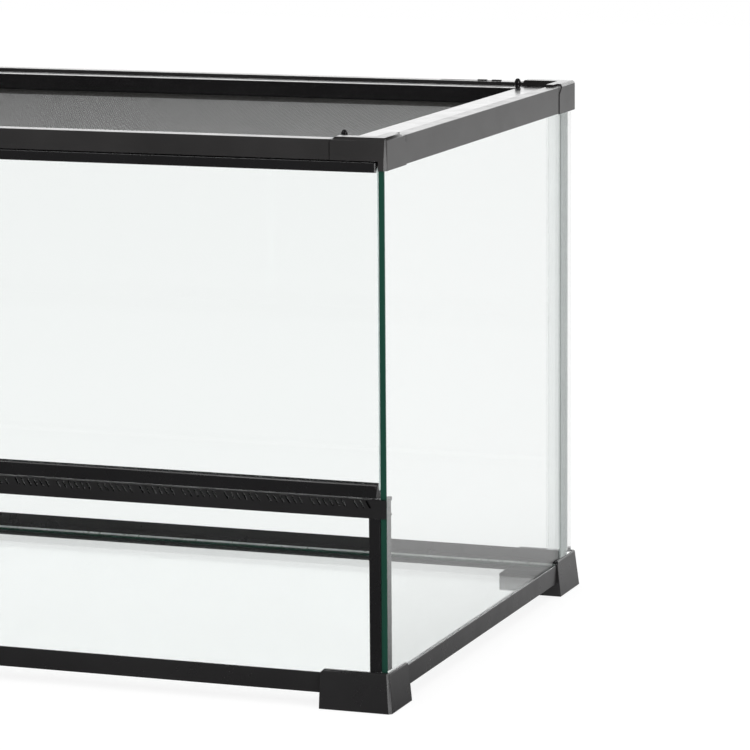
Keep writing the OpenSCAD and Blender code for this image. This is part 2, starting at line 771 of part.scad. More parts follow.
module lid_bar_long(side) {
    color(black) difference() {
        along(side, frame_w - 2 * lid_out)
            section(lid_section(side == 0 ? lid_inner_front : lid_inner));
        for (end = [-1, 1])
            translate([end * (half_w - lock_x), (side == 0 ? -1 : 1) * (half_d - lock_y),
                lid_top - lid_wall - past])
                cylinder(r = lock_hole_r, h = lid_wall + 2 * past);
        if (side == 2) {
            // groove along the top
            box([-half_w, half_d - rear_groove_in - 0.5, lid_top - 0.4],
                [half_w, half_d - rear_groove_in + 0.5, lid_top + past]);
            // cable inlets through the outer wall
            for (end = [-1, 1]) mirror_x(end)
                box([half_w - inlet_mid - inlet_w / 2, half_d - lid_out - lid_wall - past,
                    lid_foot - past], [half_w - inlet_mid + inlet_w / 2,
                    half_d - lid_out + past, inlet_z + inlet_h]);
        }
    }
}

module lid_bar_side(side) {
    color(black) difference() {
        translate([0, (lid_inner_front - lid_inner) / 2, 0])
            along(side, frame_d - lid_inner_front - lid_inner) section(lid_section(lid_inner));
        for (y = [-half_d + lid_inner_front, half_d - lid_inner])
            mirror([side == 3 ? 1 : 0, 0, 0])
                translate([half_w - lid_out, y, lid_foot - past])
                    rotate([0, 0, 45]) translate([-bar_end_r / 2, -bar_end_r / 2, 0])
                        cube([bar_end_r, bar_end_r, 2 * ledge_drop]);
    }
}

// Flat net held between the bars' lips and the retaining strips.
module screen_mesh() {
    x1 = half_w - mesh_in;
    low = -half_d + lid_inner_front;
    open_x = half_w - lid_inner;
    px = 2 * open_x / mesh_nx;
    py = (half_d - lid_inner - low) / mesh_ny;
    color([0.2, 0.2, 0.21]) translate([0, 0, mesh_bottom]) linear_extrude(mesh_t) difference() {
        translate([-x1, -half_d + mesh_in_front])
            square([2 * x1, frame_d - mesh_in_front - mesh_in]);
        for (i = [0:mesh_nx - 1], j = [0:mesh_ny - 1])
            translate([-open_x + (i + 0.5) * px, low + (j + 0.5) * py])
                square([px - mesh_w, py - mesh_w], center = true);
    }
}

module mesh_retainer() {
    x1 = half_w - mesh_in;
    low = -half_d + mesh_in_front;
    high = half_d - mesh_in;
    z0 = mesh_bottom - spline_t;
    color(black) {
        for (side = [-1, 1]) mirror_x(side)
            box([x1 - lid_lip, low, z0], [x1, high, mesh_bottom]);
        for (y = [low, high - lid_lip])
            box([-x1 + lid_lip, y, z0], [x1 - lid_lip, y + lid_lip, mesh_bottom]);
    }
}

// Push-in pin: domed head above the lid, stem down through the lid and the corner plate.
module lock_pin(x_side, y_side) {
    r = lock_head_r;
    h = lock_head_h;
    color(black) at_corner(x_side, y_side) translate([lock_x, lock_y, lid_top])
        rotate_extrude() union() {
            polygon([[0, 0.05], [r * 0.82, 0.05], [r * 0.78, h * 0.18], [r, h * 0.45],
                [r * 0.97, h * 0.68], [r * 0.72, h * 0.88], [r * 0.36, h * 0.98], [0, h]]);
            translate([0, -lock_stem_len]) square([lock_stem_r, lock_stem_len + past]);
        }
}

// ---------------------------------------------------------------- latch and slides

module latch_knob() {
    y0 = -half_d - latch_gap;
    color(black) translate([0, 0, latch_z]) {
        difference() {
            union() {
                translate([0, y0, 0]) rotate([90, 0, 0]) linear_extrude(latch_bar_t) {
                    square([2 * latch_reach - latch_bar_w, latch_bar_w], center = true);
                    for (end = [-1, 1]) translate([end * (latch_reach - latch_bar_w / 2), 0])
                        circle(d = latch_bar_w);
                }
                translate([0, y0 - latch_bar_t, 0]) rotate([90, 0, 0])
                    cylinder(r = latch_knob_r, h = latch_knob_t);
                translate([0, -half_d + rail_wall + latch_clip_t + latch_gap, 0])
                    rotate([90, 0, 0])
                        cylinder(r = latch_spindle_r, h = rail_wall + latch_clip_t
                            + 2 * latch_gap + past);
            }
            // slot across the knob's face
            box([-latch_knob_r, y0 - latch_bar_t - latch_knob_t - past, -0.8],
                [latch_knob_r, y0 - latch_bar_t - latch_knob_t + 1, 0.8]);
        }
    }
}

module latch_clip() {
    color([0.6, 0.6, 0.62])
        translate([0, -half_d + rail_wall + latch_gap + latch_clip_t, latch_z])
            rotate([90, 0, 0]) difference() {
                cylinder(r = latch_clip_r, h = latch_clip_t);
                translate([0, 0, -past]) cylinder(r = latch_spindle_r, h = latch_clip_t + 2 * past);
            }
}

// Plate that slides behind the rear rail's wall, with a finger grip above the flange.
module cable_slide(side) {
    y1 = half_d - rail_wall - slide_gap;
    color(black) mirror_x(side) translate([half_w - slide_in, 0, 0]) {
        box([-slide_w / 2, y1 - slide_t, ledge_z + pane_fit],
            [slide_w / 2, y1, flange_z - slide_gap]);
        for (end = [-1, 1]) mirror([end < 0 ? 1 : 0, 0, 0])
            box([grip_w / 2 - grip_rib_w, half_d - grip_in - grip_t, flange_z - 2],
                [grip_w / 2, half_d - grip_in, rail_top + grip_proud]);
        box([-grip_w / 2, half_d - grip_in - grip_t, flange_z - 2],
            [grip_w / 2, half_d - grip_in, rail_top - 0.5]);
    }
}

// ---------------------------------------------------------------- assembly

base_rail(0);  // base_rail_front
base_rail(1);  // base_rail_right
base_rail(2);  // base_rail_rear
base_rail(3);  // base_rail_left
foot(1, -1);  // foot_front_right
foot(-1, -1);  // foot_front_left
foot(1, 1);  // foot_rear_right
foot(-1, 1);  // foot_rear_left
floor_glass();
floor_bead();
side_glass(1);  // side_glass_right
side_glass(-1);  // side_glass_left
rear_glass();
front_lower_glass();
front_channel(1);  // front_channel_right
front_channel(-1);  // front_channel_left
rear_corner_strip(1);  // rear_corner_strip_right
rear_corner_strip(-1);  // rear_corner_strip_left
vent_strip();
vent_mesh();
color(black) top_rail_plain(0);  // top_rail_front
color(black) top_rail_plain(1);  // top_rail_right
top_rail_rear();
color(black) top_rail_plain(3);  // top_rail_left
top_cap(1, -1);  // top_cap_front_right
top_cap(-1, -1);  // top_cap_front_left
top_cap(1, 1);  // top_cap_rear_right
top_cap(-1, 1);  // top_cap_rear_left
door_glass(1);  // door_glass_right
door_glass(-1);  // door_glass_left
door_top_rail(1);  // door_top_rail_right
door_top_rail(-1);  // door_top_rail_left
door_bottom_rail(1);  // door_bottom_rail_right
door_bottom_rail(-1);  // door_bottom_rail_left
hinge_pins(1);  // hinge_pins_right
hinge_pins(-1);  // hinge_pins_left
lid_bar_long(0);  // lid_bar_front
lid_bar_side(1);  // lid_bar_right
lid_bar_long(2);  // lid_bar_rear
lid_bar_side(3);  // lid_bar_left
screen_mesh();
mesh_retainer();
lock_pin(1, -1);  // lock_pin_front_right
lock_pin(-1, -1);  // lock_pin_front_left
lock_pin(1, 1);  // lock_pin_rear_right
lock_pin(-1, 1);  // lock_pin_rear_left
latch_knob();
latch_clip();
cable_slide(1);  // cable_slide_right
cable_slide(-1);  // cable_slide_left
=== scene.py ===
"""Looks of a front-opening glass reptile terrarium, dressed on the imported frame.

Metres, +Z up, the front faces -Y, the origin is the middle of the footprint on the table.
"""

import json
import math

import bmesh
import bpy
from mathutils import Matrix, Vector, noise


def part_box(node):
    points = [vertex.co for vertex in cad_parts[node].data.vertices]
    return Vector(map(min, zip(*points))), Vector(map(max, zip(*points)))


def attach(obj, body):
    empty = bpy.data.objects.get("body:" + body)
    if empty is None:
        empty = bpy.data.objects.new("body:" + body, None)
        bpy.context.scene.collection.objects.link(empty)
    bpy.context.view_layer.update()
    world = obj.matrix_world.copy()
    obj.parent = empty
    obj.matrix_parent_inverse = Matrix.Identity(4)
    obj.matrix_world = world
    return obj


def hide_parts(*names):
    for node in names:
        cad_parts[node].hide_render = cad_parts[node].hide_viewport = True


MM = 0.001

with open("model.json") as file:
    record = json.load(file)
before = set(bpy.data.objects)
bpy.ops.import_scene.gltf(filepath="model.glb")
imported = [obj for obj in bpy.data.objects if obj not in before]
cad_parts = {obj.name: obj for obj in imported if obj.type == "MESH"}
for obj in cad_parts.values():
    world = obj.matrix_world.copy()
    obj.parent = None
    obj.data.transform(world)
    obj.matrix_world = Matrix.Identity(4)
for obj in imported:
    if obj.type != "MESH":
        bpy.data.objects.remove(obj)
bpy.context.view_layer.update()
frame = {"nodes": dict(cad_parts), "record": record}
nodes = frame["nodes"]
body_of_node = {
    node: body
    for body, members in frame["record"]["behaviour"]["bodies"].items()
    for node in members
}
slot_of_node = {row["node"]: row["material_slot"] for row in frame["record"]["subparts"]}
SIDES = ("right", "left")
CORNERS = ("front_right", "front_left", "rear_right", "rear_left")
RUNS = ("front", "right", "rear", "left")


# ---------------------------------------------------------------- camera

CAMERA_AT = (1.4917, -3.0682, 0.7758)
CAMERA_AZIMUTH = math.radians(20.229)    # turned to the left of +Y
CAMERA_ELEVATION = math.radians(9.645)   # looks down by this much
CAMERA_ROLL = math.radians(-0.400)
CAMERA_LENS = 193.4
CAMERA_SENSOR = 36.0


def add_camera():
    data = bpy.data.cameras.new("camera")
    data.sensor_width = CAMERA_SENSOR
    data.lens = CAMERA_LENS
    data.clip_end = 60
    camera = bpy.data.objects.new("camera", data)
    camera.matrix_world = (
        Matrix.Translation(CAMERA_AT)
        @ Matrix.Rotation(CAMERA_AZIMUTH, 4, "Z")
        @ Matrix.Rotation(math.pi / 2 - CAMERA_ELEVATION, 4, "X")
        @ Matrix.Rotation(CAMERA_ROLL, 4, "Z")
    )
    bpy.context.scene.collection.objects.link(camera)
    bpy.context.scene.camera = camera


# ---------------------------------------------------------------- node helpers


def blank_material(name):
    """A material with an empty node tree and its output node."""
    material = bpy.data.materials.new(name)
    material.use_nodes = True
    tree = material.node_tree
    tree.nodes.clear()
    return material, tree, tree.nodes.new("ShaderNodeOutputMaterial")


def feed(tree, socket, value):
    """Links a socket to another node's output, or sets its own value."""
    if isinstance(value, bpy.types.NodeSocket):
        tree.links.new(value, socket)
    else:
        socket.default_value = value


def add_node(tree, kind, **inputs):
    """A shader node with values or links on its inputs, named with underscores for spaces."""
    node = tree.nodes.new(kind)
    for key, value in inputs.items():
        feed(tree, node.inputs[key.replace("_", " ")], value)
    return node


def object_noise(tree, scale, detail=2.0, stretch=(1, 1, 1)):
    """Noise in the object's own space; scale is in waves a metre."""
    place = tree.nodes.new("ShaderNodeTexCoord")
    mapping = add_node(tree, "ShaderNodeMapping", Vector=place.outputs["Object"], Scale=stretch)
    grain = add_node(tree, "ShaderNodeTexNoise", Vector=mapping.outputs[0], Scale=scale,
                     Detail=detail)
    return grain.outputs["Fac"]


def span(tree, value, low, high, from_low=0.3, from_high=0.7):
    """A value mapped to the range low to high."""
    return add_node(tree, "ShaderNodeMapRange", Value=value, From_Min=from_low, From_Max=from_high,
                    To_Min=low, To_Max=high).outputs[0]


def blend_colours(tree, factor, a, b):
    """A mix of two colours by a factor."""
    mix = tree.nodes.new("ShaderNodeMix")
    mix.data_type = "RGBA"
    for key, value in (("Factor", factor), (6, a), (7, b)):   # 6 and 7 are the colour inputs
        feed(tree, mix.inputs[key], value)
    return mix.outputs[2]


def bump(tree, height, distance):
    node = add_node(tree, "ShaderNodeBump", Height=height, Distance=distance, Strength=1.0)
    return node.outputs[0]


def principled(tree, ior=1.5, transmission=0.0, metallic=0.0, **inputs):
    """A Principled shader; what is the same all over is set on its own sockets."""
    surface = add_node(tree, "ShaderNodeBsdfPrincipled", **inputs)
    surface.inputs["IOR"].default_value = ior
    surface.inputs["Transmission Weight"].default_value = transmission
    surface.inputs["Metallic"].default_value = metallic
    return surface.outputs[0]


def lit_through(tree, output, surface, tint):
    """The surface, but lamps' rays pass it, tinted, as real clear things let light through."""
    path = tree.nodes.new("ShaderNodeLightPath")
    clear = add_node(tree, "ShaderNodeBsdfTransparent", Color=tint)
    mix = tree.nodes.new("ShaderNodeMixShader")
    tree.links.new(path.outputs["Is Shadow Ray"], mix.inputs[0])
    tree.links.new(surface, mix.inputs[1])
    tree.links.new(clear.outputs[0], mix.inputs[2])
    tree.links.new(mix.outputs[0], output.inputs["Surface"])


# ---------------------------------------------------------------- materials


PEEL_SCALE = 900.0        # waves a metre of moulded plastic's orange peel
PEEL_HEIGHT = 0.012 * MM


def black_plastic(name, tone, rough, ior=1.5):
    """Moulded black plastic: fine orange peel, slight changes of shade and polish."""
    material, tree, output = blank_material(name)
    cloud = object_noise(tree, 14.0, 3.0)
    dark = [c * 0.82 for c in tone] + [1]
    light = [c * 1.2 for c in tone] + [1]
    colour = blend_colours(tree, span(tree, cloud, 0, 1), dark, light)
    polish = span(tree, object_noise(tree, 60.0, 4.0), rough * 0.88, rough * 1.14)
    skin = bump(tree, object_noise(tree, PEEL_SCALE, 2.0), PEEL_HEIGHT)
    surface = principled(tree, ior, Base_Color=colour, Roughness=polish, Normal=skin)
    tree.links.new(surface, output.inputs["Surface"])
    return material


def pane_glass(name, tint, ior, rough_low, rough_high):
    """The broad faces of float glass, clear with a slight cool tint and faint smears."""
    material, tree, output = blank_material(name)
    smear = span(tree, object_noise(tree, 5.0, 3.0), rough_low, rough_high, 0.0, 1.0)
    surface = principled(tree, ior, 1.0, Base_Color=tint, Roughness=smear)
    lit_through(tree, output, surface, (0.90, 0.93, 0.92, 1))
    return material


def cut_edge(name, deep, light, rough):
    """A cut and ground edge of a pane: deep green where it is seen along the glass."""
    material, tree, output = blank_material(name)
    streak = object_noise(tree, 40.0, 4.0, (1, 1, 0.06))
    colour = blend_colours(tree, span(tree, streak, 0, 1), deep, light)
    polish = span(tree, object_noise(tree, 300.0, 3.0), rough * 0.8, rough * 1.3)
    surface = principled(tree, Base_Color=colour, Roughness=polish)
    tree.links.new(surface, output.inputs["Surface"])
    return material


def silicone(name):
    """Translucent cured silicone, milky, with small bubbles and smears."""
    material, tree, output = blank_material(name)
    cloud = object_noise(tree, 120.0, 4.0)
    milky, white = (0.60, 0.63, 0.62, 1), (0.92, 0.94, 0.93, 1)
    colour = blend_colours(tree, span(tree, cloud, 0, 1), milky, white)
    rough = span(tree, object_noise(tree, 260.0, 3.0), 0.22, 0.5)
    lumps = bump(tree, object_noise(tree, 420.0, 3.0), 0.25 * MM)
    surface = principled(tree, 1.41, 0.55, Base_Color=colour, Roughness=rough, Normal=lumps)
    lit_through(tree, output, surface, (0.75, 0.77, 0.76, 1))
    return material


def clear_plastic(name):
    """Clear extruded profile with faint lines along its length."""
    material, tree, output = blank_material(name)
    lines = object_noise(tree, 500.0, 3.0, (1, 1, 0.01))
    rough = span(tree, object_noise(tree, 30.0, 2.0), 0.03, 0.08)
    ripple = bump(tree, lines, 0.05 * MM)
    clear = (0.97, 0.975, 0.975, 1)
    surface = principled(tree, 1.3, 0.93, Base_Color=clear, Roughness=rough, Normal=ripple)
    lit_through(tree, output, surface, (0.86, 0.87, 0.87, 1))
    return material


def coated_wire(name, dark, light, ior):
    """Dark coated screen wire; its darkest copies are painted shade."""
    material, tree, output = blank_material(name)
    cloud = object_noise(tree, 35.0, 3.0)
    colour = blend_colours(tree, span(tree, cloud, 0, 1), dark, light)
    rough = span(tree, object_noise(tree, 200.0, 2.0), 0.42, 0.6)
    surface = principled(tree, ior, Base_Color=colour, Roughness=rough)
    tree.links.new(surface, output.inputs["Surface"])
    return material


def pin_steel(name):
    """Drawn steel with fine lines along the pin."""
    material, tree, output = blank_material(name)
    lines = object_noise(tree, 900.0, 3.0, (1, 1, 0.05))
    dull, bright = (0.38, 0.38, 0.39, 1), (0.60, 0.60, 0.61, 1)
    colour = blend_colours(tree, span(tree, lines, 0, 1), dull, bright)
    rough = span(tree, lines, 0.25, 0.4)
    surface = principled(tree, metallic=1.0, Base_Color=colour, Roughness=rough)
    tree.links.new(surface, output.inputs["Surface"])
    return material


def sealing_film(name):
    """Grey elastic film that seals a pane's edge, with small streaks."""
    material, tree, output = blank_material(name)
    streak = object_noise(tree, 90.0, 4.0, (1, 1, 0.2))
    dark, light = (0.024, 0.024, 0.024, 1), (0.052, 0.052, 0.052, 1)
    colour = blend_colours(tree, span(tree, streak, 0, 1), dark, light)
    rough = span(tree, object_noise(tree, 260.0, 3.0), 0.35, 0.6)
    surface = principled(tree, Base_Color=colour, Roughness=rough)
    tree.links.new(surface, output.inputs["Surface"])
    return material


MATERIALS = {
    name: maker(name, *values)
    for name, maker, *values in (
        ("base_plastic", black_plastic, (0.0120, 0.0115, 0.0120), 0.30),
        ("top_plastic", black_plastic, (0.0215, 0.0205, 0.0206), 0.24, 1.43),
        ("lid_plastic", black_plastic, (0.0085, 0.0080, 0.0085), 0.17),
        ("door_plastic", black_plastic, (0.0055, 0.0052, 0.0058), 0.27),
        ("strip_plastic", black_plastic, (0.0085, 0.0080, 0.0086), 0.45),
        ("sealing_film", sealing_film),
        ("silicone", silicone),
        ("clear_plastic", clear_plastic),
        ("screen", coated_wire, (0.030, 0.029, 0.027, 1), (0.050, 0.048, 0.045, 1), 1.32),
        # The screen's upper level: a much darker copy of the same wire, painted shade against the
        # lighter lower level.
        ("screen_top", coated_wire, (0.002, 0.002, 0.002, 1), (0.005, 0.005, 0.005, 1), 1.2),
        # Near black with almost no gloss: painted shade on the vent wires behind the slots and on
        # the walls of the vent strip's slots.
        ("dark_screen", coated_wire, (0.0015, 0.0015, 0.0015, 1), (0.003, 0.003, 0.003, 1), 1.06),
        ("pin_steel", pin_steel),
        ("glass_pane", pane_glass, (0.984, 0.998, 0.993, 1), 1.45, 0.0, 0.012),
        ("glass_floor", pane_glass, (0.860, 0.873, 0.869, 1), 1.06, 0.05, 0.07),
        ("edge_deep", cut_edge, (0.004, 0.030, 0.019, 1), (0.008, 0.052, 0.034, 1), 0.14),
        ("edge_pale", cut_edge, (0.55, 0.66, 0.63, 1), (0.82, 0.90, 0.88, 1), 0.3),
    )
}


# ---------------------------------------------------------------- pieces that stand for CAD nodes


def link_piece(name, mesh, body, slot, *materials):
    piece = bpy.data.objects.new(name, mesh)
    bpy.context.scene.collection.objects.link(piece)
    for material in materials:
        mesh.materials.append(MATERIALS[material])
    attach(piece, body)
    return piece


def stand_for(name, mesh, node, *materials):
    """A new piece in the place of a CAD node, on the node's body; without materials given, it takes
    the material named as the node's slot.
    """
    slot = slot_of_node[node]
    piece = link_piece(name, mesh, body_of_node[node], slot, *(materials or (slot,)))
    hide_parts(node)
    return piece


def clean_copy(node):
    """The node's surface as an editable mesh, with its flat faces whole again."""
    source = nodes[node].data
    bm = bmesh.new()
    verts = [bm.verts.new(v.co) for v in source.vertices]
    for polygon in source.polygons:
        bm.faces.new([verts[i] for i in polygon.vertices])
    bmesh.ops.remove_doubles(bm, verts=bm.verts, dist=0.003 * MM)
    bmesh.ops.dissolve_limit(bm, angle_limit=math.radians(0.4), verts=bm.verts, edges=bm.edges)
    return bm


def finish_mesh(bm, name, sharp=48):
    mesh = bpy.data.meshes.new(name)
    bmesh.ops.recalc_face_normals(bm, faces=bm.faces)
    bm.to_mesh(mesh)
    bm.free()
    for polygon in mesh.polygons:
        polygon.use_smooth = True
    mesh.set_sharp_from_angle(angle=math.radians(sharp))
    return mesh


SLOT_WALL = 60 * MM * MM            # the walls of the slots are smaller than this
ROUNDED_ANGLE = math.radians(35)    # edges that turn by more than this are rounded


def soften(node, radius, shortest, segments=2, materials=()):
    """Stands for a CAD node of rigid plastic, its longer outer edges rounded as in moulding.

    A second material, painted shade, goes on the walls of the small openings in a front face.
    """
    bm = clean_copy(node)
    edges = [
        e for e in bm.edges
        if len(e.link_faces) == 2 and e.is_convex
        and e.calc_face_angle() > ROUNDED_ANGLE and e.calc_length() > shortest
    ]
    bmesh.ops.bevel(
        bm, geom=edges, offset=radius, segments=segments, profile=0.5, affect="EDGES"
    )
    if len(materials) > 1:
        for face in bm.faces:
            face.normal_update()
            # The slots' small walls take the second material, painted shade that darkens the slots.
            if abs(face.normal.y) < 0.3 and face.calc_area() < SLOT_WALL:
                face.material_index = 1
    piece = stand_for("soft_" + node, finish_mesh(bm, "soft_" + node), node, *materials)
    weighted = piece.modifiers.new("flat_faces", "WEIGHTED_NORMAL")
    weighted.keep_sharp = True
    return piece


PANE_CHAMFER = 0.35 * MM


def pane(node, thin_axis, edge, broad="glass_pane"):
    """A pane of glass in its node's box, with chamfered edges; edge names the edges' material."""
    low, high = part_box(node)
    bm = bmesh.new()
    bmesh.ops.create_cube(bm, size=1)
    bmesh.ops.scale(bm, vec=high - low, verts=bm.verts)
    bmesh.ops.translate(bm, vec=(low + high) / 2, verts=bm.verts)
    bmesh.ops.bevel(bm, geom=list(bm.edges), offset=PANE_CHAMFER, segments=1, affect="EDGES")
    for face in bm.faces:
        face.normal_update()
        face.material_index = 0 if abs(face.normal[thin_axis]) > 0.99 else 1
    mesh = bpy.data.meshes.new("pane_" + node)
    bm.to_mesh(mesh)
    bm.free()
    return stand_for("pane_" + node, mesh, node, broad, edge)


def add_panes():
    for side in SIDES:
        pane("side_glass_" + side, 0, "edge_deep")
        pane("door_glass_" + side, 1, "edge_pale")
    pane("rear_glass", 1, "edge_deep")
    pane("front_lower_glass", 1, "edge_deep")
    pane("floor_glass", 2, "edge_deep", "glass_floor")


def set_material(node, name):
    """Another material on a CAD node that shows as it is."""
    data = nodes[node].data
    data.materials.clear()
    data.materials.append(MATERIALS[name])


def add_plastic():
    for run in RUNS:
        soften("base_rail_" + run, 0.45 * MM, 5 * MM)
        soften("top_rail_" + run, 0.45 * MM, 5 * MM)
        soften("lid_bar_" + run, 0.45 * MM, 5 * MM)
    for corner in CORNERS:
        soften("foot_" + corner, 0.45 * MM, 4 * MM)
        soften("top_cap_" + corner, 0.28 * MM, 3 * MM)
        set_material("lock_pin_" + corner, "lid_plastic")
    for side in SIDES:
        soften("door_top_rail_" + side, 0.85 * MM, 3 * MM, 3)
        soften("door_bottom_rail_" + side, 0.6 * MM, 3 * MM, 3)
        soften("front_channel_" + side, 0.25 * MM, 5 * MM)
        soften("cable_slide_" + side, 0.25 * MM, 2 * MM)
        soften("rear_corner_strip_" + side, 0.2 * MM, 20 * MM)
    # The vent strip's slot walls get near-black painted shade.
    soften("vent_strip", 0.4 * MM, 40 * MM, materials=("strip_plastic", "dark_screen"))
    soften("mesh_retainer", 0.2 * MM, 20 * MM)
    soften("latch_knob", 0.35 * MM, 1.5 * MM)


# ---------------------------------------------------------------- the woven screen

SCREEN_PITCH = 4.0 * MM
SCREEN_WIRE = 0.9 * MM
VENT_PITCH = 0.8 * MM
VENT_WIRE = 0.62 * MM


def add_wire(bm, start, end, across, rise, level):
    """One straight wire of flattened six-sided section, given its half width and half height."""
    slant = across / 2
    ring = (across, slant + rise, rise - slant, -across, -slant - rise, slant - rise)
    first = [bm.verts.new(start + r) for r in ring]
    last = [bm.verts.new(end + r) for r in ring]
    for i in range(len(ring)):
        j = (i + 1) % len(ring)
        bm.faces.new((first[i], last[i], last[j], first[j])).material_index = level
    bm.faces.new(first).material_index = level
    bm.faces.new(list(reversed(last))).material_index = level


def weave(name, node, thin, pitch, width, *materials):
    """Wires on two levels, one across the other, in a flat net's box.

    thin is the box's short axis, and the materials are the lower and the upper level's.
    """
    low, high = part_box(node)
    flat = [axis for axis in range(3) if axis != thin]
    half = (high[thin] - low[thin]) / 4
    rise = Vector()
    rise[thin] = half
    bm = bmesh.new()
    for level, (run, across) in enumerate((flat, reversed(flat))):
        count = int((high[across] - low[across]) / pitch)
        room = high[across] - low[across] - width
        side = Vector()
        side[across] = width / 2
        for k in range(count + 1):
            start = low.copy()
            start[across] = low[across] + width / 2 + room * k / count
            start[thin] = low[thin] + half * (1 + 2 * level)
            end = start.copy()
            end[run] = high[run]
            add_wire(bm, start, end, side, rise, level)
    mesh = bpy.data.meshes.new(name)
    bmesh.ops.recalc_face_normals(bm, faces=bm.faces)
    bm.to_mesh(mesh)
    bm.free()
    stand_for(name, mesh, node, *materials)


# ---------------------------------------------------------------- silicone


BEAD_STEP = 6 * MM          # between the rings along a run
BEAD_ARC = 5                # steps across the bead's hollow
BEAD_EVEN = 0.86            # share of the full size that is always there
BEAD_UNEVEN = 0.12          # share that comes and goes
BEAD_REAR = 0.4             # the rear run's share of the full size
BEAD_SIDE = (-0.225, 0.424)  # start and length of the side runs
BEAD_REAR_HALF = 0.4467
BEAD_FRONT_HALF = 0.436


def add_bead():
    """Silicone fillet round the floor, a little uneven, in the plain bead's place."""
    bm = bmesh.new()
    low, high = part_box("floor_bead")
    floor = low.z
    full = high.z - low.z

    def run(corner, along, inward, length, seed, size=full):
        """One side's bead; inward points into the tank."""
        count = max(2, int(length / BEAD_STEP))
        rings = []
        for k in range(count + 1):
            s = length * k / count
            reach = BEAD_EVEN + BEAD_UNEVEN * noise.noise(Vector((s * 60, seed, 0)))
            climb = BEAD_EVEN + BEAD_UNEVEN * noise.noise(Vector((s * 75, seed + 9, 0)))
            points = [(0, 0)]
            for i in range(BEAD_ARC + 1):
                t = math.pi / 2 * i / BEAD_ARC
                points.append(
                    (size * reach * (1 - math.sin(t)), size * climb * (1 - math.cos(t)))
                )
            base = Vector(corner) + Vector(along) * s
            rings.append([
                bm.verts.new(base + Vector(inward) * p + Vector((0, 0, q))) for p, q in points
            ])
        for a, b in zip(rings, rings[1:]):
            for i in range(len(a)):
                j = (i + 1) % len(a)
                bm.faces.new((a[i], a[j], b[j], b[i]))
        bm.faces.new(rings[0])
        bm.faces.new(list(reversed(rings[-1])))

    for sx in (1, -1):
        x = high.x if sx > 0 else low.x
        run((x, BEAD_SIDE[0], floor), (0, 1, 0), (-sx, 0, 0), BEAD_SIDE[1], 3.0 + sx)
    run((-BEAD_REAR_HALF, high.y, floor), (1, 0, 0), (0, -1, 0), 2 * BEAD_REAR_HALF, 7.0,
        BEAD_REAR * full)
    run((-BEAD_FRONT_HALF, low.y, floor), (1, 0, 0), (0, 1, 0), 2 * BEAD_FRONT_HALF, 8.0)
    stand_for("silicone_bead", finish_mesh(bm, "silicone_bead"), "floor_bead")


FILM_THICK = 0.07 * MM
FILM_DEPTH = 14 * MM
FILM_OFFSET = 0.6 * FILM_THICK   # of its middle from the glass


def add_edge_films():
    """A thin film on each side glass's inner face, from its front edge inwards."""
    for side, sign in (("right", 1), ("left", -1)):
        low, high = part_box("side_glass_" + side)
        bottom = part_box("front_channel_" + side)[0].z
        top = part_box("vent_strip")[1].z
        inner = low.x if sign > 0 else high.x
        middle = (inner - sign * FILM_OFFSET, low.y + FILM_DEPTH / 2, (bottom + top) / 2)
        bm = bmesh.new()
        bmesh.ops.create_cube(bm, size=1)
        bmesh.ops.scale(bm, vec=(FILM_THICK, FILM_DEPTH, top - bottom), verts=bm.verts)
        bmesh.ops.translate(bm, vec=middle, verts=bm.verts)
        name = "edge_film_" + side
        link_piece(name, finish_mesh(bm, name), "tank_frame", "silicone", "sealing_film")


# ---------------------------------------------------------------- floor, light and air


def choose(tree, factor, a, b):
    """A mix of two levels by a factor."""
    mix = tree.nodes.new("ShaderNodeMix")
    mix.data_type = "FLOAT"
    for key, value in (("Factor", factor), ("A", a), ("B", b)):
        feed(tree, mix.inputs[key], value)
    return mix.outputs[0]


def path_kinds(tree):
    """Two factors: the path has been scattered by a matt surface, or mirrored by a glossy one."""
    path = tree.nodes.new("ShaderNodeLightPath")
    kinds = []
    for depth in ("Diffuse Depth", "Glossy Depth"):
        test = add_node(tree, "ShaderNodeMath", Value=path.outputs[depth])
        test.operation = "GREATER_THAN"
        test.inputs[1].default_value = 0.5
        kinds.append(test.outputs[0])
    return kinds


def smooth_range(tree, value, from_low, from_high, low, high):
    """A value mapped to a range with soft ends."""
    mapped = add_node(tree, "ShaderNodeMapRange", Value=value, From_Min=from_low, From_Max=from_high,
                      To_Min=low, To_Max=high)
    mapped.interpolation_type = "SMOOTHSTEP"
    return mapped.outputs[0]


FLOOR_HALF = 6.0
FLOOR_GAP = 0.5 * MM       # below the feet
FLOOR_SEEN = 0.86          # own light of the floor that the eye sees
FLOOR_PAPER = 0.2          # its matt share, which keeps the shadow
FLOOR_PLAIN = 0.8          # for light that a matt surface has scattered
FLOOR_MIRRORED = (0.13, 0.85)   # in gloss: in front of the tank, and behind it to the right
FLOOR_RISE = (0.0, 0.9)         # where the level goes from one to the other, in metres


